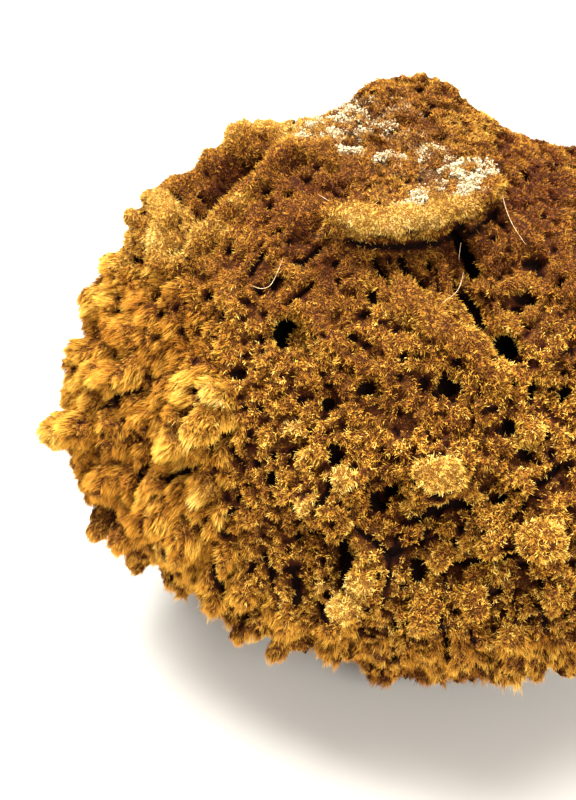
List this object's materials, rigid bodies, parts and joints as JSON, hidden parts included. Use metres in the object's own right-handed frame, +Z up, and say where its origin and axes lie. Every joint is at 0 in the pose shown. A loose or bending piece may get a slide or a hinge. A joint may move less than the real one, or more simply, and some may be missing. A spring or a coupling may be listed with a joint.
{
  "type": "sea sponge",
  "caption": "Dried natural sea sponge: a rounded golden-brown mound with a felted top and shelf, open pores, shaggy lower tufts and a flat cut foot.",
  "frame": {"origin": "on the surface that the sponge rests on, under the middle of its box", "axes": "+Z up from the flat cut foot, +X along the widest side, -Y towards the side with the shelf"},
  "size_m": [0.2147, 0.18, 0.1624],
  "materials": {
    "sponge": "dry matte fibre, golden brown, with pale chalky grit on the shelf"
  },
  "bodies": {
    "root": {"sponge": "sponge"}
  },
  "joints": []
}
